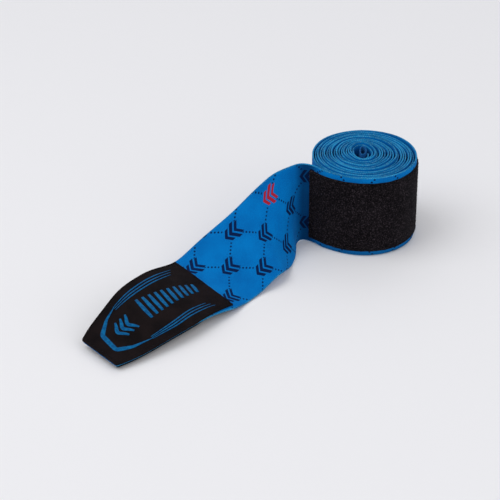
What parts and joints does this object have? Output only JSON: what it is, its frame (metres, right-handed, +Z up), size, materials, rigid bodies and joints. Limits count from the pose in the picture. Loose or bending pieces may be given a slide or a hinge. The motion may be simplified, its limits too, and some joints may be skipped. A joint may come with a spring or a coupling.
{
  "type": "hand wrap",
  "caption": "Rolled elastic hand wrap standing on edge, its free end twisted out to a tapered hook-and-loop closure tab.",
  "frame": {"origin": "on the coil's axis, at its lower end, where the strip's folded inner end crosses the axis", "axes": "+Z up along the coil's axis; the free tail lies towards -X and -Y"},
  "size_m": [0.188, 0.1835, 0.0503],
  "materials": {
    "blue_weave": "woven elastic strip, azure blue",
    "loop_velour": "black looped velour",
    "black_thread": "black sewing thread",
    "blue_thread": "blue sewing thread",
    "loop_tape": "narrow woven tape",
    "cover_black": "black coated cover",
    "hook_tape": "black hook tape",
    "transfer_blue": "blue heat-pressed film"
  },
  "bodies": {
    "roll": {"strip_coil": "blue_weave", "loop_patch": "loop_velour", "loop_patch_stitch_bottom": "black_thread", "loop_patch_stitch_top": "black_thread", "loop_patch_stitch_start": "black_thread", "loop_patch_stitch_end": "black_thread"},
    "loop": {"thumb_loop": "loop_tape", "thumb_loop_tack": "blue_thread"},
    "tail": {"strip_tail": "blue_weave"},
    "tail_end": {"strip_tail_end": "blue_weave"},
    "tab": {"strip_tab": "blue_weave", "tab_cover": "cover_black", "hook_patch": "hook_tape", "tab_stitch_sides": "black_thread", "tab_stitch_tip": "black_thread", "tab_stitch_seam": "black_thread", "transfer_keel": "transfer_blue", "transfer_stripes": "transfer_blue", "transfer_chevrons": "transfer_blue", "transfer_bars": "transfer_blue"}
  },
  "joints": [
    {"name": "tail_swing", "type": "hinge", "parent": "roll", "child": "tail", "pos_m": [-0.03613, -0.0126, 0.025], "axis": [0, 0, 1], "range_deg": [-50, 40]},
    {"name": "tail_lift", "type": "hinge", "parent": "tail", "child": "tail_end", "pos_m": [-0.0635, -0.04456, 0.01547], "axis": [-0.5503, 0.741, 0.3847], "range_deg": [0, 35]},
    {"name": "tab_fold", "type": "hinge", "parent": "tail_end", "child": "tab", "pos_m": [-0.09016, -0.0743, 0.00682], "axis": [-0.6915, 0.6971, 0.1894], "range_deg": [0, 110]},
    {"name": "loop_pull", "type": "slide", "parent": "roll", "child": "loop", "axis": [0, 0, 1], "range_m": [0, 0.012]}
  ]
}
